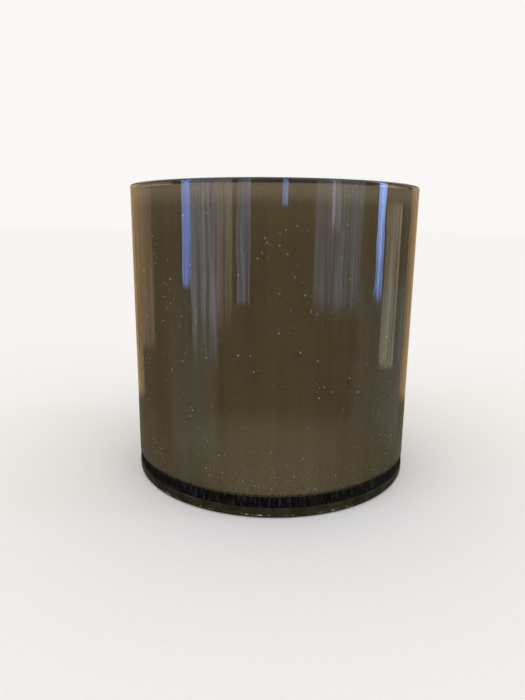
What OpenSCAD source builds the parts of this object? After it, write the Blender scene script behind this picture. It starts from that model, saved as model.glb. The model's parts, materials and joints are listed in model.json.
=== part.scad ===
// Straight-sided glass cylinder vase: a clear glass casing over an opaque
// coloured lining, standing on a thick two-disc glass base with a dark band.
// Millimetres, +Z up. The origin is the centre of the resting face.

/* [Vase] */
// Outside diameter of the wall and of the foot
outer_d = 198; // [140:1:260]
// Overall height, from the resting face to the top of the lip
height = 200; // [120:1:350]

/* [Glass wall] */
// Thickness of the clear outer casing
casing_t = 3.5; // [2.5:0.1:6]
// Thickness of the opaque coloured lining inside the casing
lining_t = 1.5; // [1:0.1:2.5]
// Height of the clear lip that caps the lining at the mouth
lip_h = 2.9; // [2:0.1:6]
// Radius of the fire-polished inner and outer edges of the lip
lip_edge_r = 1.2; // [0.4:0.1:1.6]

/* [Base] */
// Thickness of the foot disc that the vase stands on
foot_h = 7; // [5:0.5:12]
// Radius of the foot disc's ground and polished lower edge
foot_edge_r = 2.2; // [0.5:0.1:3]
// Radius of the fine arris on the foot disc's upper edge
foot_arris_r = 0.4; // [0.2:0.1:0.8]
// Height of the dark band round the floor slab
band_h = 7.3; // [4:0.1:12]
// Thickness of the dark band, measured inwards
band_t = 2; // [1:0.1:4]
// How far the band stands back from the face of the wall
band_set_back = 0.3; // [0.1:0.1:1]

/* [Inside] */
// Thickness of the lining where it covers the floor
floor_t = 2; // [1:0.1:4]
// Radius of the hollow corner between the floor and the wall
floor_corner_r = 6; // [3:0.5:12]

/* [Hidden] */
$fn = 180;

outer_r = outer_d / 2;
casing_inner_r = outer_r - casing_t;
mouth_r = casing_inner_r - lining_t;

band_outer_r = outer_r - band_set_back;
slab_r = band_outer_r - band_t;
base_h = foot_h + band_h;

lining_top_z = height - lip_h;
floor_z = base_h + floor_t;

// Flat bar of the given width and height, standing on the X axis from x = 0,
// with both upper corners rounded.
module bar_round_top(width, tall, corner_r) {
    square([width, tall - corner_r]);
    translate([corner_r, 0])
        square([width - 2 * corner_r, tall]);
    for (x = [corner_r, width - corner_r])
        translate([x, tall - corner_r])
            circle(r = corner_r);
}

// Square corner of side r with a quarter circle cut out of it. What is left
// fills an inside corner whose walls are at x = r and y = 0.
module hollow_corner(r) {
    difference() {
        square(r);
        translate([0, r])
            circle(r = r);
    }
}

// Clear outer glass: a straight tube from the base up, whose lip turns inwards
// over the top of the lining and is rounded by the flame.
module clear_casing() {
    color([0.80, 0.86, 0.86, 0.35])
        rotate_extrude() {
            translate([casing_inner_r, base_h])
                square([casing_t, lining_top_z - base_h]);
            translate([mouth_r, lining_top_z])
                bar_round_top(outer_r - mouth_r, lip_h, lip_edge_r);
        }
}

// Opaque coloured glass: a cup that lines the casing and covers the floor, with
// a hollow corner between the two.
module colour_lining() {
    color([0.29, 0.25, 0.17])
        rotate_extrude() {
            translate([mouth_r, base_h])
                square([lining_t, lining_top_z - base_h]);
            translate([0, base_h])
                square([casing_inner_r, floor_t]);
            translate([mouth_r - floor_corner_r, floor_z])
                hollow_corner(floor_corner_r);
        }
}

// Thick smoked glass disc under the lining, encircled by the dark band.
module floor_slab() {
    color([0.16, 0.14, 0.10])
        translate([0, 0, foot_h])
            cylinder(r = slab_r, h = band_h);
}

// Black ring let into the edge of the base, its outer face scored from top to
// bottom.
module dark_band() {
    color([0.05, 0.05, 0.05])
        translate([0, 0, foot_h])
            rotate_extrude()
                translate([slab_r, 0])
                    square([band_t, band_h]);
}

// Polished smoke-brown glass disc that the vase stands on: a wide rounded lower
// edge and a fine arris above.
module foot_disc() {
    color([0.17, 0.15, 0.10])
        rotate_extrude() {
            square([outer_r - foot_edge_r, foot_h]);
            translate([0, foot_edge_r]) {
                square([outer_r, foot_h - foot_edge_r - foot_arris_r]);
                square([outer_r - foot_arris_r, foot_h - foot_edge_r]);
            }
            translate([outer_r - foot_edge_r, foot_edge_r])
                circle(r = foot_edge_r);
            translate([outer_r - foot_arris_r, foot_h - foot_arris_r])
                circle(r = foot_arris_r);
        }
}

clear_casing();
colour_lining();
floor_slab();
dark_band();
foot_disc();
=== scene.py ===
# %% [markdown]
# # A cylinder vase in cased glass
#
# The vase is a thick, straight-sided glass cylinder for cut flowers. Its wall has two layers: clear glass
# outside and an opaque brown-taupe lining inside, so it looks like brown lacquer under a thick clear gloss.
# It stands on a solid glass base, which shows as a black, scored band over a polished smoke-brown foot.
# Every layer is round about one axis, so each is a profile swept through a full turn. Spin and Screw
# modifiers could do that too. Here each surface is worked out with numpy instead, because a formula can
# also put in what a lathe leaves out: the slow ripple of blown glass, and the scores of a grinding wheel.

import json
import math

import bpy
import mathutils
import numpy as np
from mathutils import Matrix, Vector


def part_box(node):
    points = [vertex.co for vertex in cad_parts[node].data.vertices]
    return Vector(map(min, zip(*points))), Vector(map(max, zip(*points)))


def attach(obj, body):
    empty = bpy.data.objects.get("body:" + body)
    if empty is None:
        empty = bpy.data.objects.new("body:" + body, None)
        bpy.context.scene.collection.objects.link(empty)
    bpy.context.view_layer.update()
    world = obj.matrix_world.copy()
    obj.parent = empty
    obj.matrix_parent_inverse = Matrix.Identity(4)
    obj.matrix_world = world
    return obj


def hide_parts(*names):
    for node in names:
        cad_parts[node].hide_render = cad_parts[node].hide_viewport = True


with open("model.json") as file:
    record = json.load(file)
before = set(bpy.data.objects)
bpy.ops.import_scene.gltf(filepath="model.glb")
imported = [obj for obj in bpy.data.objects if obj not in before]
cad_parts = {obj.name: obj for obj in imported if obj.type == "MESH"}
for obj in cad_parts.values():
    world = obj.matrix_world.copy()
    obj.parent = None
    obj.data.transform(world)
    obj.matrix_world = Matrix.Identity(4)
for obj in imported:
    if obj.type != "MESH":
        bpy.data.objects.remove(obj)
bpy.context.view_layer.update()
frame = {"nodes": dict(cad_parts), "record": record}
MM = 0.001
print("CAD nodes:", sorted(frame["nodes"]))

# %% [markdown]
# ## The sizes that everything follows
#
# The heights and radii are measured on the CAD nodes, so a change there carries over. Only what a box
# can't show is stated: the radii of the rounded edges and the thickness of the lining's floor. The mouth's
# radius is the bore that the record states.

# %% Measure the CAD nodes
casing_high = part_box("clear_casing")[1]
lining_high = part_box("colour_lining")[1]
band_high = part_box("dark_band")[1]
foot_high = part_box("foot_disc")[1]

OUTER_R = casing_high.x
LINING_R = lining_high.x
BAND_R = band_high.x
FOOT_TOP, BAND_TOP = foot_high.z, band_high.z
LINING_TOP, RIM = lining_high.z, casing_high.z
bore = next(m for m in frame["record"]["mounts"] if m["kind"] == "bore")
MOUTH_R = bore["dims"]["r_mm"] * MM

LIP_EDGE = 1.2 * MM
FLOOR_TOP = BAND_TOP + 2 * MM
FLOOR_CORNER = 6 * MM
FOOT_EDGE = 2.2 * MM
FOOT_ARRIS = 0.4 * MM
for name, size in (("radius", OUTER_R), ("height", RIM), ("mouth radius", MOUTH_R)):
    print(f"{name}: {size / MM:.1f} mm")

# %% [markdown]
# ## Sweeping a profile
#
# A profile is a list of (radius, height) points that runs anticlockwise: out along the bottom, up the
# outside, in over the top and down the inside. `arc` gives the round stretches, and `line` the straight
# ones with enough points for the ripple to show. `tidy` joins them.

# %% Profiles
TURN = 2 * math.pi


def arc(centre, radius, start, end, steps=8):
    """Points at centre + radius * (cos a, sin a), for a in equal steps from start to end, in degrees."""
    a = np.radians(np.linspace(start, end, steps + 1))
    return np.stack([centre[0] + radius * np.cos(a), centre[1] + radius * np.sin(a)], axis=1)


def line(start, end, steps=1):
    """Points at start + t * (end - start), for t in equal steps from 0 to 1."""
    t = np.linspace(0, 1, steps + 1)[:, None]
    return np.array(start) + t * (np.array(end) - np.array(start))


def tidy(*stretches):
    """The stretches joined end to end, with points closer than a micrometre counted once."""
    points = np.concatenate(stretches)
    apart = np.linalg.norm(np.diff(points, axis=0), axis=1) > MM / 1000
    return points[np.concatenate([[True], apart])]


print("a quarter arc has", len(arc((0, 0), 1, 0, 90)), "points")

# %% [markdown]
# ## The lathe
#
# `lathe` turns a profile through a full circle. A profile that starts and ends on the axis is closed there
# by a fan of triangles, and any other is a closed loop, so both make a watertight skin whose faces point
# outwards. A Screw modifier makes the same skin, but it can't let each column dip by its own amount.

# %% The lathe
SHARP_EDGE = math.radians(35)


def lathe(name, profile, columns, sink=None):
    """A closed skin: point (r, z) of the profile goes to ((r - s) cos a, (r - s) sin a, z) for each of the
    columns' angles a in a full turn. s = sink(a, r, z) lets the surface dip below the true circle."""
    on_axis = profile[0, 0] < MM / 1000
    rows = profile[1:-1] if on_axis else profile
    r, z = rows[:, :1], rows[:, 1:]
    a = np.arange(columns) * TURN / columns
    reach = r - (sink(a, r, z) if sink else 0 * a)
    points = np.stack([reach * np.cos(a), reach * np.sin(a), z + 0 * a], axis=-1).reshape(-1, 3)

    here = np.arange(columns)
    after = (here + 1) % columns
    last = len(rows) - 1 if on_axis else len(rows)
    low = np.arange(last)[:, None] * columns
    high = (np.arange(last)[:, None] + 1) % len(rows) * columns
    quads = np.stack([low + here, low + after, high + after, high + here], axis=-1).reshape(-1, 4)
    faces = quads.tolist()
    if on_axis:
        base, top = len(points), len(points) + 1
        points = np.concatenate([points, [[0, 0, profile[0, 1]], [0, 0, profile[-1, 1]]]])
        final = (len(rows) - 1) * columns
        faces += np.stack([0 * here + base, after, here], axis=1).tolist()
        faces += np.stack([final + here, final + after, 0 * here + top], axis=1).tolist()

    mesh = bpy.data.meshes.new(name)
    mesh.from_pydata(points, [], faces)
    mesh.shade_smooth()
    mesh.set_sharp_from_angle(angle=SHARP_EDGE)
    piece = bpy.data.objects.new(name, mesh)
    bpy.context.scene.collection.objects.link(piece)
    print(f"{name}: {len(profile)} profile points, {len(faces)} faces")
    return piece


# %% [markdown]
# ## Making a material
#
# A material here is a small tree of nodes. `add` puts in one node of any kind, so that each pattern below
# reads as a recipe. Its plain values go to the node's inputs in their order: a Math node takes its two
# numbers, a Mix node its factor and two colours, and a Map Range node a value, the two ends that it comes
# from and the two that it goes to. Colours are written as the sRGB hex values that a colour picker gives,
# and turned to the linear light that a shader works in.

# %% Node and colour helpers
TIMES = {"operation": "MULTIPLY"}
PLUS = {"operation": "ADD"}
MINUS = {"operation": "SUBTRACT"}
SMOOTH = {"interpolation_type": "SMOOTHSTEP"}
EVEN = {"interpolation_type": "LINEAR"}
MIX = {"data_type": "RGBA", "clamp_factor": False}


def colour(hex_code):
    """Linear RGBA of an sRGB hex colour: c / 12.92 below 0.04045, and ((c + 0.055) / 1.055) ^ 2.4 above."""
    c = np.array([int(hex_code[i : i + 2], 16) for i in (1, 3, 5)]) / 255
    linear = np.where(c <= 0.04045, c / 12.92, ((c + 0.055) / 1.055) ** 2.4)
    return (*linear.tolist(), 1.0)


def add(tree, kind, settings, *values, **named):
    """Adds one node. settings are its properties, values go to its inputs in use in their order, and named
    ones to the inputs of those names, with _ for a space. A node or an output is linked, all else is set."""
    node = tree.nodes.new("ShaderNode" + kind)
    for key, value in settings.items():
        setattr(node, key, value)
    in_use = [socket for socket in node.inputs if socket.enabled]
    pairs = list(zip(in_use, values))
    for key, value in named.items():
        pairs.append((next(s for s in in_use if s.name == key.replace("_", " ")), value))
    for socket, value in pairs:
        if isinstance(value, bpy.types.Node):
            value = next(s for s in value.outputs if s.enabled)
        if isinstance(value, bpy.types.NodeSocket):
            tree.links.new(value, socket)
        else:
            socket.default_value = value
    return node


def start_material(name):
    """An empty material, its node tree and the output that gives Object coordinates."""
    material = bpy.data.materials.new(name)
    material.use_nodes = True
    tree = material.node_tree
    tree.nodes.clear()
    return material, tree, add(tree, "TexCoord", {}).outputs["Object"]


def finish_material(material, tree, shader):
    """The material, with the shader linked to its output."""
    add(tree, "OutputMaterial", {}, shader)
    print(f"{material.name}: {len(tree.nodes)} nodes")
    return material


print("mid grey in linear light:", colour("#808080"))

# %% [markdown]
# ## Clear casing glass
#
# The casing is soda-lime glass, shaped hot and polished by flame, so it is as smooth as a liquid with a
# refractive index of 1.52. Glass shaped by hand keeps faint vertical cords, where gathers of glass flowed
# together. They are about 13 mm apart and bend a reflection slightly, so they go in as a weak bump drawn
# out along the height. A film of dust and finger marks blurs the gloss in patches. Light that runs down
# inside the lip comes back darker, and that shade is painted into the glass's colour: the last 3 mm below
# the rim turn grey-brown.

# %% Clear glass material
# Painted shade: the heights over which the glass turns grey-brown below the rim.
PAINTED_LIP_SHADE = (RIM - 3.2 * MM, RIM - 2.2 * MM)


def clear_glass():
    material, tree, place = start_material("clear_soda_lime_glass")
    drawn = add(tree, "Mapping", {}, place, Scale=(1, 1, 0.4))
    cords = add(tree, "TexNoise", {}, drawn, Scale=1 / (13 * MM), Detail=1.0)
    bump = add(tree, "Bump", {}, Height=cords, Strength=1.0, Distance=0.12 * MM)
    smudges = add(tree, "TexNoise", {}, place, Scale=1 / (22 * MM), Detail=3.0)
    film = add(tree, "MapRange", SMOOTH, smudges, 0.5, 0.75, 0.0, 0.035)
    height = add(tree, "SeparateXYZ", {}, place).outputs["Z"]
    # Painted shade: the glass colour goes grey-brown towards the rim.
    lip = add(tree, "MapRange", SMOOTH, height, *PAINTED_LIP_SHADE, 0.0, 1.0)
    lip_shaded_tone = add(tree, "Mix", MIX, lip, colour("#fbfcfa"), colour("#8b8478"))
    glass = add(
        tree, "BsdfPrincipled", {},
        Base_Color=lip_shaded_tone, Roughness=film, IOR=1.52, Transmission_Weight=1.0, Normal=bump,
    )
    return finish_material(material, tree, glass)


casing_glass = clear_glass()

# %% [markdown]
# ## The casing
#
# The clear layer is a tube whose lip turns inwards over the lining and is rounded by the flame. Where two
# glasses are fused there is no air between them, so the casing's inner face lies a little inside the
# lining and light passes straight from one to the other. Its foot is sunk into the band in the same way.
# The outside isn't a true circle. Slow waves run round and up it, a few hundredths of a millimetre deep,
# which is enough to make straight reflections waver. The waves only go inwards, so the size stays true.

# %% Casing surface
FUSED = 0.2 * MM
CASING_ARRIS = 0.3 * MM
RIPPLE = 0.035 * MM
FADE = 12 * MM
WAVES = ((5, 9, 0.0), (9, -14, 1.3), (14, 6, 2.1), (23, 17, 4.0), (37, -11, 5.2), (58, 23, 0.7))


def ripple(a, r, z):
    """How far the wall dips at angle a and height z: the sum of waves (1 + sin(turns * a + rise * z / RIM +
    start)) / 2, each weighted by 1 / sqrt(turns). It is weaker near the lip, and none inside the wall."""
    total = sum(
        (1 + np.sin(turns * a + rise * z / RIM + start)) / 2 / math.sqrt(turns)
        for turns, rise, start in WAVES
    )
    outside = r > OUTER_R - LIP_EDGE
    return RIPPLE * total * outside * np.clip((RIM - z) / FADE, 0.15, 1)


WALL_COLUMNS = 720
casing_profile = tidy(
    line((LINING_R - FUSED, BAND_TOP - FUSED), (BAND_R, BAND_TOP - FUSED)),
    arc((OUTER_R - CASING_ARRIS, BAND_TOP + CASING_ARRIS), CASING_ARRIS, -90, 0, 4),
    line((OUTER_R, BAND_TOP + 2 * CASING_ARRIS), (OUTER_R, RIM - LIP_EDGE - 1 * MM), 60),
    arc((OUTER_R - LIP_EDGE, RIM - LIP_EDGE), LIP_EDGE, 0, 90),
    arc((MOUTH_R + LIP_EDGE, RIM - LIP_EDGE), LIP_EDGE, 90, 180),
    line((MOUTH_R, LINING_TOP), (MOUTH_R + FUSED, LINING_TOP - FUSED)),
    line((LINING_R - FUSED, LINING_TOP - FUSED), (LINING_R - FUSED, BAND_TOP + 1 * MM), 4),
)
casing = lathe("cased_clear_wall", casing_profile, WALL_COLUMNS, ripple)
casing.data.materials.append(casing_glass)
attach(casing, "root")
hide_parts("clear_casing")

# %% [markdown]
# ## Opaque taupe glass
#
# The lining is glass made opaque with a stain of brown and grey. Its face against the casing is fused, so
# it has no gloss of its own there: the shine is all on the casing's outside. The inner face is bare
# glass and does shine. The brown grows much paler in the last two centimetres below the rim: partly
# because the layer thins where it is drawn up, and partly as painted light, for the light that enters
# through the clear lip and lights the lining below it. Blowing leaves faint vertical streaks and a fine
# mottle of pigment. Near the
# base the melt is full of pale dust, and the black of the band has crept up into it in short ticks.

# %% Opaque lining material
# Heights over which the lining pales towards the rim: partly the thinner layer, partly painted light from
# the lip.
SLOW_THINNING_AND_LIP_LIGHT = (RIM - 40 * MM, RIM)
FAST_THINNING_AND_LIP_LIGHT = (RIM - 16 * MM, RIM - 4 * MM)
DUSTY = (BAND_TOP, BAND_TOP + 55 * MM)
TICKED = (BAND_TOP, BAND_TOP + 2.5 * MM)


def taupe_glass(name, roughness, gloss):
    """The stained lining glass. gloss is its specular level: 0.5 on a bare face, 0 on a fused one."""
    material, tree, place = start_material(name)
    height = add(tree, "SeparateXYZ", {}, place).outputs["Z"]
    drawn = add(tree, "Mapping", {}, place, Scale=(1, 1, 0.05))
    streaks = add(tree, "TexNoise", {}, drawn, Scale=1 / (9 * MM), Detail=4.0)
    streaked = add(tree, "MapRange", EVEN, streaks, 0.35, 0.65, 0.0, 1.0)
    body = add(tree, "Mix", MIX, streaked, colour("#66583b"), colour("#6d5f40"))
    # Paler towards the rim: partly the thinner layer, partly painted light for the light that enters through
    # the clear lip.
    slow = add(tree, "MapRange", SMOOTH, height, *SLOW_THINNING_AND_LIP_LIGHT, 0.0, 0.12)
    fast = add(tree, "MapRange", SMOOTH, height, *FAST_THINNING_AND_LIP_LIGHT, 0.0, 0.46)
    body = add(tree, "Mix", MIX, add(tree, "Math", PLUS, slow, fast), body, colour("#b3a280"))

    mottle = add(tree, "TexNoise", {}, place, Scale=1 / (1.4 * MM), Detail=2.0)
    shade = add(tree, "MapRange", EVEN, mottle, 0.3, 0.7, 0.92, 1.08)
    body = add(tree, "Mix", MIX | {"blend_type": "MULTIPLY"}, 1.0, body, shade)

    dust = add(tree, "TexNoise", {}, place, Scale=1 / (0.55 * MM), Detail=1.0)
    specks = add(tree, "MapRange", SMOOTH, dust, 0.5, 0.7, 0.0, 1.0)
    drift = add(tree, "TexNoise", {}, place, Scale=1 / (26 * MM), Detail=2.0)
    low_down = add(tree, "MapRange", SMOOTH, height, *DUSTY, 0.36, 0.0)
    dusty = add(tree, "Math", TIMES, specks, add(tree, "Math", TIMES, low_down, drift))
    body = add(tree, "Mix", MIX, dusty, body, colour("#d9cfb4"))

    fine = add(tree, "Mapping", {}, place, Scale=(1, 1, 0.25))
    ticks = add(tree, "TexNoise", {}, fine, Scale=1 / (0.8 * MM), Detail=2.0)
    reach = add(tree, "MapRange", EVEN, height, *TICKED, 0.55, 0.85)
    ticked = add(tree, "Math", {"operation": "GREATER_THAN"}, ticks, reach)
    body = add(tree, "Mix", MIX, ticked, body, colour("#15130e"))
    glass = add(
        tree, "BsdfPrincipled", {},
        Base_Color=body, IOR=1.5, Roughness=roughness, Specular_IOR_Level=gloss,
    )
    return finish_material(material, tree, glass)


fused_lining = taupe_glass("taupe_glass_fused", 0.6, 0.0)
bare_lining = taupe_glass("taupe_glass_bare", 0.06, 0.5)

# %% [markdown]
# ## The lining
#
# The lining is a cup: a wall and a floor that meet in a hollow corner, as hot glass settles in a mould.
# Faces that look outwards or down get the fused finish, and those that look inwards or up the bare one.

# %% Lining surface
lining_profile = tidy(
    line((0, BAND_TOP), (LINING_R, BAND_TOP), 6),
    line((LINING_R, BAND_TOP), (LINING_R, LINING_TOP), 30),
    line((LINING_R, LINING_TOP), (MOUTH_R, LINING_TOP)),
    line((MOUTH_R, LINING_TOP), (MOUTH_R, FLOOR_TOP + FLOOR_CORNER), 30),
    arc((MOUTH_R - FLOOR_CORNER, FLOOR_TOP + FLOOR_CORNER), FLOOR_CORNER, 0, -90, 12),
    line((MOUTH_R - FLOOR_CORNER, FLOOR_TOP), (0, FLOOR_TOP), 8),
)
lining = lathe("taupe_glass_lining", lining_profile, WALL_COLUMNS // 2)


def paint_by_face(piece, materials, choose):
    """Gives each face materials[choose(centres, normals)], where both arrays are faces by 3."""
    count = len(piece.data.polygons)
    centres, normals = np.zeros(count * 3), np.zeros(count * 3)
    piece.data.polygons.foreach_get("center", centres)
    piece.data.polygons.foreach_get("normal", normals)
    for material in materials:
        piece.data.materials.append(material)
    index = choose(centres.reshape(-1, 3), normals.reshape(-1, 3)).astype(np.int32)
    piece.data.polygons.foreach_set("material_index", index)


def is_bare(centres, normals):
    """1 where a face is inside the cup: nearer the axis than the wall's middle and above the floor's."""
    r = np.hypot(centres[:, 0], centres[:, 1])
    middle = (LINING_R + MOUTH_R) / 2
    return (r < middle) & (centres[:, 2] > (BAND_TOP + FLOOR_TOP) / 2)


paint_by_face(lining, [fused_lining, bare_lining], is_bare)
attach(lining, "root")
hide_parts("colour_lining")

# %% [markdown]
# ## Scored black glass
#
# The band is black glass left rough from grinding: no polish, so next to no shine, and very little light
# comes back from it. The wheel ran from top to bottom, and the ridges between its scores are coloured a
# lighter grey. The scores are a little under 1 mm apart, and the grey comes and goes every 3 mm or so.

# %% Scored black material
def scored_black():
    material, tree, place = start_material("ground_black_glass")
    drawn = add(tree, "Mapping", {}, place, Scale=(1, 1, 0.1))
    scores = add(tree, "TexNoise", {}, drawn, Scale=1 / (0.9 * MM), Detail=3.0)
    bump = add(tree, "Bump", {}, Height=scores, Strength=0.6, Distance=0.15 * MM)
    broken = add(tree, "TexNoise", {}, place, Scale=1 / (3 * MM), Detail=3.0)
    # The raised ridges of the scores are coloured a lighter grey, in patches.
    ridges = add(tree, "MapRange", SMOOTH, scores, 0.42, 0.68, 0.0, 1.0)
    patches = add(tree, "MapRange", SMOOTH, broken, 0.3, 0.6, 0.0, 1.0)
    lighter_ridges = add(tree, "Math", TIMES, ridges, patches)
    stain = add(tree, "Mix", MIX, lighter_ridges, colour("#060503"), colour("#2a2924"))
    glass = add(
        tree, "BsdfPrincipled", {},
        Base_Color=stain, Roughness=0.6, IOR=1.5, Specular_IOR_Level=0.05, Normal=bump,
    )
    return finish_material(material, tree, glass)


# %% [markdown]
# ## The dark band
#
# The ring is cut, not drawn: its outer face has real grooves, each a random depth up to a quarter of a
# millimetre, that change slowly from top to bottom.

# %% Band surface
SCORES = 900
SCORE_DEPTH = 0.25 * MM
BAND_ARRIS = 0.1 * MM
scoring = np.random.default_rng(7)
score_ends = scoring.random((3, SCORES)) ** 2


def scored(a, r, z):
    """How far the ground face dips: one random depth for each score, eased between three heights."""
    t = np.clip((z - FOOT_TOP) / (BAND_TOP - FOOT_TOP), 0, 1) * 2
    low, high = np.minimum(t.astype(int), 1), np.minimum(t.astype(int), 1) + 1
    part = t - low
    column = np.arange(a.size) % SCORES
    depth = score_ends[low[:, 0]][:, column] * (1 - part) + score_ends[high[:, 0]][:, column] * part
    return SCORE_DEPTH * depth * (r > BAND_R - 1 * MM)


band_inner = BAND_R - 2 * MM
band_profile = tidy(
    line((band_inner, FOOT_TOP), (BAND_R - BAND_ARRIS, FOOT_TOP)),
    line((BAND_R, FOOT_TOP + BAND_ARRIS), (BAND_R, BAND_TOP - BAND_ARRIS), 12),
    line((BAND_R - BAND_ARRIS, BAND_TOP), (band_inner, BAND_TOP)),
)
band = lathe("scored_black_band", band_profile, SCORES, scored)
band.data.materials.append(scored_black())
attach(band, "root")
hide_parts("dark_band")

# %% [markdown]
# ## Smoked base glass
#
# The foot and the slab are cast from smoke-brown glass, so thick that hardly any light comes back through
# it: only a dim olive brown shows under a polished gloss. Faint swirls of the melt are left in it. The
# foot's lower edge was rounded on a grinding belt. Where that edge meets the polished side, a pale
# hairline is painted on as a highlight, broken into small bright grains.

# %% Smoked glass material
# Distances from the painted highlight hairline at which it is full and at which it is gone.
PAINTED_GLINT_LINE = (0.1 * MM, 0.35 * MM)


def smoked_glass(name, glint_height=None):
    """Smoke-brown cast glass. The second argument is the height of a painted highlight hairline, if it has
    one.
    """
    material, tree, place = start_material(name)
    swirls = add(tree, "TexNoise", {}, place, Scale=1 / (14 * MM), Detail=4.0, Distortion=1.2)
    swirled = add(tree, "MapRange", SMOOTH, swirls, 0.35, 0.65, 0.0, 1.0)
    stain = add(tree, "Mix", MIX, swirled, colour("#1e1a0c"), colour("#2d291a"))
    # Painted highlight: a pale hairline where the rounded lower edge meets the side, broken into grains.
    if glint_height is not None:
        height = add(tree, "SeparateXYZ", {}, place).outputs["Z"]
        above = add(tree, "Math", MINUS, height, glint_height)
        away = add(tree, "Math", {"operation": "ABSOLUTE"}, above)
        on_line = add(tree, "MapRange", SMOOTH, away, *PAINTED_GLINT_LINE, 1.0, 0.0)
        grains = add(tree, "TexNoise", {}, place, Scale=1 / (1.2 * MM), Detail=3.0)
        glint_grains = add(tree, "MapRange", SMOOTH, grains, 0.5, 0.66, 0.0, 1.0)
        stretches = add(tree, "TexNoise", {}, place, Scale=1 / (17 * MM), Detail=1.0)
        glint_stretches = add(tree, "MapRange", SMOOTH, stretches, 0.42, 0.62, 0.0, 1.0)
        painted_glint = add(tree, "Math", TIMES, on_line, add(tree, "Math", TIMES, glint_grains, glint_stretches))
        stain = add(tree, "Mix", MIX, painted_glint, stain, colour("#d6ccb4"))
    glass = add(
        tree, "BsdfPrincipled", {},
        Base_Color=stain, Roughness=0.15, IOR=1.5, Specular_IOR_Level=0.15,
    )
    return finish_material(material, tree, glass)


# %% [markdown]
# ## The foot disc and the floor slab
#
# The foot's lower edge is well rounded and its upper edge has only a fine arris. The slab above it lies
# between the lining, the band and the foot, where nobody sees it, so its CAD node stays as it is.

# %% Foot surface and slab finish
foot_profile = tidy(
    line((0, 0), (OUTER_R - FOOT_EDGE, 0), 8),
    arc((OUTER_R - FOOT_EDGE, FOOT_EDGE), FOOT_EDGE, -90, 0, 10),
    line((OUTER_R, FOOT_EDGE), (OUTER_R, FOOT_TOP - FOOT_ARRIS), 4),
    arc((OUTER_R - FOOT_ARRIS, FOOT_TOP - FOOT_ARRIS), FOOT_ARRIS, 0, 90, 4),
    line((OUTER_R - FOOT_ARRIS, FOOT_TOP), (0, FOOT_TOP), 8),
)
foot = lathe("smoked_glass_foot", foot_profile, WALL_COLUMNS)
foot.data.materials.append(smoked_glass("smoked_foot_glass", FOOT_EDGE))
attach(foot, "root")
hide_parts("foot_disc")

slab = frame["nodes"]["floor_slab"]
slab.material_slots[0].material = smoked_glass("smoked_slab_glass")

# %% [markdown]
# ## Seeds
#
# Glassmakers call the tiny bubbles that never left the melt seeds. They hang in the clear layer and shine
# as pale dots against the brown. Real ones are often under 0.2 mm, too fine to show, so the smallest here
# are 0.3 mm across. Most sank towards the base. Each one is a small sphere. Hundreds of them repeat, so
# each has only a few dozen faces, and they are placed by one array formula from a seeded generator, which
# gives the same bubbles every time.

# %% One seed
def ball(columns=6, rows=4):
    """Unit sphere points (cos a sin p, sin a sin p, cos p), with its faces; the poles are single points."""
    a = np.arange(columns) * TURN / columns
    p = np.pi * np.arange(1, rows)[:, None] / rows
    rings = np.stack([np.cos(a) * np.sin(p), np.sin(a) * np.sin(p), np.cos(p) + 0 * a], axis=-1)
    points = np.concatenate([rings.reshape(-1, 3), [[0, 0, 1], [0, 0, -1]]])
    here = np.arange(columns)
    after = (here + 1) % columns
    low = np.arange(rows - 2)[:, None] * columns
    quads = np.stack([low + here, low + columns + here, low + columns + after, low + after], axis=-1)
    last = (rows - 2) * columns
    top, bottom = len(points) - 2, len(points) - 1
    upper = np.stack([here, after, 0 * here + top], axis=1)
    lower = np.stack([last + after, last + here, 0 * here + bottom], axis=1)
    return points, quads.reshape(-1, 4), np.concatenate([upper, lower])


print("one seed:", len(ball()[1]) + len(ball()[2]), "faces")

# %% [markdown]
# ## Scattering the seeds
#
# Half of the seeds lie anywhere in the wall, and half hang together in swarms, as bubbles do where a
# gather of glass was folded. The swarms and the single seeds are both denser low down.

# %% Seed surfaces
SEEDS = 1400
SWARMS = 90
SEED_BAND = (BAND_TOP + 3 * MM, RIM - 8 * MM)
SEED_DEPTH = (0.2 * MM, 1.4 * MM)
SEED_RADIUS = (0.15 * MM, 0.48 * MM)
SWARM_SPREAD = (4 * MM / OUTER_R, 7 * MM)
seeding = np.random.default_rng(21)


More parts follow.
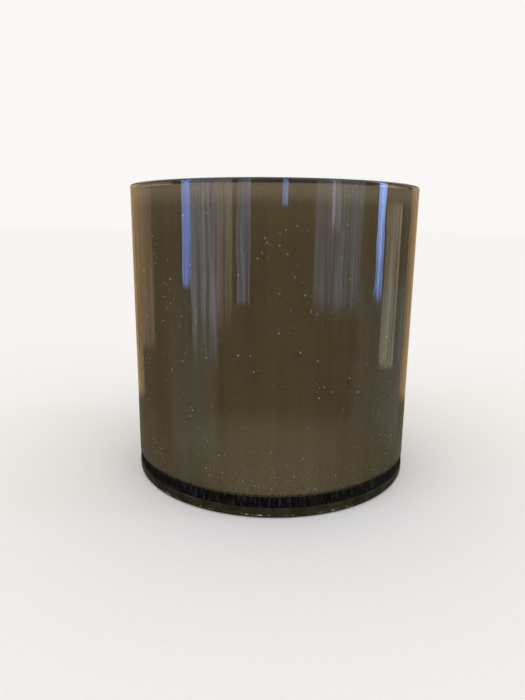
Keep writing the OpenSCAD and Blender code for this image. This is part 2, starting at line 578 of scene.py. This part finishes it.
def seeds(name, count, swarms):
    """Spheres at (r cos a, r sin a, z). Their heights crowd low by a power of 1.5, or 1.2 for a swarm's
    middle, round which its seeds spread on bell curves of 4 mm sideways and 7 mm up. Their sizes crowd to
    the small end by a power of 5."""
    lowest, span = SEED_BAND[0], SEED_BAND[1] - SEED_BAND[0]
    a, z = seeding.random(count) * TURN, span * seeding.random(count) ** 1.5
    home = seeding.integers(0, swarms, count)
    in_swarm = seeding.random(count) < 0.5
    home_a, home_z = seeding.random(swarms) * TURN, span * seeding.random(swarms) ** 1.2
    spread_a, spread_z = seeding.normal(0, SWARM_SPREAD[0], count), seeding.normal(0, SWARM_SPREAD[1], count)
    a = np.where(in_swarm, home_a[home] + spread_a, a)
    z = lowest + np.clip(np.where(in_swarm, home_z[home] + spread_z, z), 0, span)
    size = SEED_RADIUS[0] + (SEED_RADIUS[1] - SEED_RADIUS[0]) * seeding.random(count) ** 5
    depth = SEED_DEPTH[0] + (SEED_DEPTH[1] - SEED_DEPTH[0]) * seeding.random(count)
    r = OUTER_R - RIPPLE * 3 - size - depth
    centres = np.stack([r * np.cos(a), r * np.sin(a), z], axis=1)
    points, quads, fans = ball()
    places = (centres[:, None] + size[:, None, None] * points).reshape(-1, 3)
    step = np.arange(count)[:, None, None] * len(points)
    faces = (quads + step).reshape(-1, 4).tolist() + (fans + step).reshape(-1, 3).tolist()
    mesh = bpy.data.meshes.new(name)
    mesh.from_pydata(places, [], faces)
    mesh.shade_smooth()
    piece = bpy.data.objects.new(name, mesh)
    bpy.context.scene.collection.objects.link(piece)
    print(f"{name}: {count} seeds of {size.min() / MM * 2:.2f} to {size.max() / MM * 2:.2f} mm")
    return piece


# %% [markdown]
# ## The shine of a seed
#
# Light bends round inside a bubble and comes out as a pale glint. A pale ball with a soft gloss looks much
# the same from a distance, without the cost of light that bends in every bubble. The glint is whiter in
# some parts of the wall and warmer in others.

# %% Seed finish
def seed_shine():
    """The pale glint of a bubble, in patches 9 mm wide of a warmer and a whiter tone."""
    material, tree, place = start_material("seed_bubble")
    patch = add(tree, "TexNoise", {}, place, Scale=1 / (9 * MM), Detail=1.0)
    warmth = add(tree, "MapRange", SMOOTH, patch, 0.35, 0.65, 0.0, 1.0)
    pale = add(tree, "Mix", MIX, warmth, colour("#cdbf9c"), colour("#fffdf2"))
    shine = add(tree, "BsdfPrincipled", {}, Base_Color=pale, Roughness=0.3)
    return finish_material(material, tree, shine)


bubbles = seeds("glass_seeds", SEEDS, SWARMS)
bubbles.data.materials.append(seed_shine())
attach(bubbles, "root")

# %% [markdown]
# ## Floor
#
# A plain pale floor, so wide that its edge is lost on the horizon. It isn't part of the vase. Glass would
# mirror all of it and look milky, so the floor is kept out of mirror reflections.

# %% Floor
FLOOR_REACH = 15.0
floor_mesh = bpy.data.meshes.new("pale_floor")
corner = np.array([(-1, -1, 0), (1, -1, 0), (1, 1, 0), (-1, 1, 0)]) * FLOOR_REACH
floor_mesh.from_pydata(corner, [], [(0, 1, 2, 3)])
floor = bpy.data.objects.new("pale_floor", floor_mesh)
bpy.context.scene.collection.objects.link(floor)
paper, paper_tree, paper_place = start_material("pale_paper")
fibre = add(paper_tree, "TexNoise", {}, paper_place, Scale=1 / (3 * MM), Detail=3.0)
paper_tone = add(paper_tree, "Mix", MIX, fibre, colour("#eceae6"), colour("#f2f0ec"))
paper_matt = add(paper_tree, "BsdfDiffuse", {}, paper_tone)
floor_mesh.materials.append(finish_material(paper, paper_tree, paper_matt))
floor.visible_glossy = False

# %% [markdown]
# ## Studio light
#
# Clear glass over a dark colour shows mostly what stands round it, so the light is built for its
# reflections. The surround is one soft dome, bright overhead and dim and warm at table height. Soft panels
# stand round it: a tall cool light box at either side draws the two bright streaks, pleated cloth spreads a
# paler light beside each, and warm boards behind and at the sides draw the vase's edges. Azimuth is 0
# towards the camera and grows to the right.

# %% Panels of the dome
TALL = 30
PANELS = (
    # what it is, azimuth, half width, bottom, top, edge at the sides, edge at the ends, colour, strength;
    # every size is in degrees
    ("cool light box, left", -69, 4, -6, TALL, 1.5, 1.5, "#7fa6ff", 5.6),
    ("pleated cloth, left", -54, 11, -11, TALL, 1.5, 10, "#cdd5f5", 1.35),
    ("net, front left", -37, 6, -9, TALL, 2, 6, "#f3eae6", 1.0),
    ("cool strip, front left", -22, 5, -8, TALL, 1, 1, "#aecaf6", 1.25),
    ("cool strip, front right", 8, 2, 2, TALL, 1, 1, "#8ab6ff", 4.5),
    ("pleated cloth, right", 51, 20, -8, TALL, 3, 4, "#d4e0ff", 0.75),
    ("cool strip, right", 47, 4, 0, TALL, 1.5, 2, "#dfe6ff", 1.1),
    ("cool light box, right", 89, 4, -7, TALL, 1.5, 2, "#8ab0ff", 8.0),
    ("warm board, right", 105, 10, -14, 2, 1.5, 1, "#fff0d4", 0.7),
    ("warm board, left", -120, 12, -12, 7, 2, 1.5, "#ffd3a4", 0.38),
    ("warm board, back left", -150, 18, -17, 7, 2, 1.5, "#ffca89", 0.37),
    ("warm board, back right", 150, 18, -17, 7, 2, 1.5, "#ffca89", 0.38),
    ("low cool fill, left", -65, 22, -24, -6, 6, 5, "#bcd8e0", 0.26),
    ("low cool fill, right", 100, 32, -21, -6, 6, 5, "#c4dcf0", 0.16),
    ("table light, front", 5, 60, -80, -20, 60, 3, "#fff5c4", 0.36),
)
for name, middle, half_width, bottom, top, *rest in PANELS:
    print(f"{name}: {2 * half_width} by {top - bottom} degrees at {middle}")

# %% [markdown]
# ## The dome
#
# The world shader gets the direction of each ray and works out its azimuth and elevation. A colour ramp
# over the elevation gives the dome. A noise stretched along the height gives the folds of the cloth, which
# vary the panels' light from side to side and fade out towards the table.

# %% Dome
DOME = ((-90, "#5f5a4c"), (-20, "#5f5a4c"), (-16, "#524d42"), (14, "#545046"), (40, "#fffaf2"))
DOME_STRENGTH = 1.25
DEGREES = 180 / math.pi
world = bpy.data.worlds.new("soft_dome")
bpy.context.scene.world = world
world.use_nodes = True
sky = world.node_tree
sky.nodes.clear()
way = add(sky, "SeparateXYZ", {}, add(sky, "TexCoord", {}).outputs["Generated"])
towards = add(sky, "Math", TIMES, way.outputs["Y"], -1.0)
round_about = add(sky, "Math", {"operation": "ARCTAN2"}, way.outputs["X"], towards)
azimuth = add(sky, "Math", TIMES, round_about, DEGREES)
upwards = add(sky, "Math", {"operation": "ARCSINE"}, way.outputs["Z"])
elevation = add(sky, "Math", TIMES, upwards, DEGREES)

ramp = add(sky, "ValToRGB", {}, add(sky, "MapRange", EVEN, elevation, -90, 90, 0.0, 1.0))
elements = ramp.color_ramp.elements
while len(elements) < len(DOME):
    elements.new(0.5)
for element, (height, hex_code) in zip(elements, DOME):
    element.position = (height + 90) / 180
    element.color = colour(hex_code)

flat = add(sky, "CombineXYZ", {}, azimuth, add(sky, "Math", TIMES, elevation, 0.1))
cloth = add(sky, "TexNoise", {}, flat, Scale=0.42, Detail=3.0)
folds = add(sky, "MapRange", EVEN, cloth, 0.35, 0.65, -0.75, 0.75)
hang = add(sky, "MapRange", SMOOTH, elevation, -17, -10, 0.0, 1.0)
pleats = add(sky, "Math", PLUS, 1.0, add(sky, "Math", TIMES, folds, hang))
print("dome:", len(DOME), "colours,", len(PANELS), "panels")

# %% [markdown]
# ## Lighting the panels
#
# Each panel adds its colour to the dome inside a box with soft edges. The camera's own rays see a plain
# pale backdrop instead, so that the panels show only in the glass.

# %% Adding the panels
def between(value, low, high, edge):
    """0 outside low to high and 1 inside, with an S-shaped change over edge at both ends."""
    rise = add(sky, "MapRange", SMOOTH, value, low - edge / 2, low + edge / 2, 0.0, 1.0)
    fall = add(sky, "MapRange", SMOOTH, value, high - edge / 2, high + edge / 2, 1.0, 0.0)
    return add(sky, "Math", TIMES, rise, fall)


light = ramp.outputs["Color"]
for name, centre, half_width, bottom, top, side_edge, end_edge, hex_code, strength in PANELS:
    across = between(azimuth, centre - half_width, centre + half_width, side_edge)
    inside = add(sky, "Math", TIMES, across, between(elevation, bottom, top, end_edge))
    glow = add(sky, "Math", TIMES, add(sky, "Math", TIMES, inside, strength), pleats)
    light = add(sky, "Mix", MIX | {"blend_type": "ADD"}, glow, light, colour(hex_code))

lit = add(sky, "Background", {}, light, DOME_STRENGTH)
backdrop = add(sky, "Background", {}, colour("#faf7f5"), 1.0)
camera_ray = add(sky, "LightPath", {}).outputs["Is Camera Ray"]
add(sky, "OutputWorld", {}, add(sky, "MixShader", {}, camera_ray, lit, backdrop))
print("world shader:", len(sky.nodes), "nodes")

# %% [markdown]
# ## Camera
#
# The camera stands about 0.4 m from the axis, a little below the rim, and looks down by 13 degrees. The
# lens is a wide one, so the wall seems to narrow towards the foot. Its distance and height are given in
# outer radii, so it would follow a bigger vase.

# %% Camera
CAMERA_AWAY = 4.094 * OUTER_R
CAMERA_HEIGHT = RIM - 0.2513 * OUTER_R
LENS = 28.41
pitch, yaw, roll = math.radians(12.77), math.radians(-1.0), math.radians(0.6)

level_right = np.array([math.cos(yaw), -math.sin(yaw), 0])
level_ahead = np.array([math.sin(yaw), math.cos(yaw), 0])
up = np.array([0, 0, 1])
ahead = math.cos(pitch) * level_ahead - math.sin(pitch) * up
above = math.sin(pitch) * level_ahead + math.cos(pitch) * up
right = math.cos(roll) * level_right + math.sin(roll) * above
over = -math.sin(roll) * level_right + math.cos(roll) * above

lens = bpy.data.cameras.new("camera")
lens.lens = LENS
camera = bpy.data.objects.new("camera", lens)
bpy.context.scene.collection.objects.link(camera)
matrix = np.eye(4)
matrix[:3, 0], matrix[:3, 1], matrix[:3, 2] = right, over, -ahead
matrix[:3, 3] = (0, -CAMERA_AWAY, CAMERA_HEIGHT)
camera.matrix_world = mathutils.Matrix(matrix.tolist())
bpy.context.scene.camera = camera
bpy.context.scene.view_settings.view_transform = "Standard"
print(f"camera {CAMERA_AWAY:.3f} m away, {CAMERA_HEIGHT:.3f} m up")
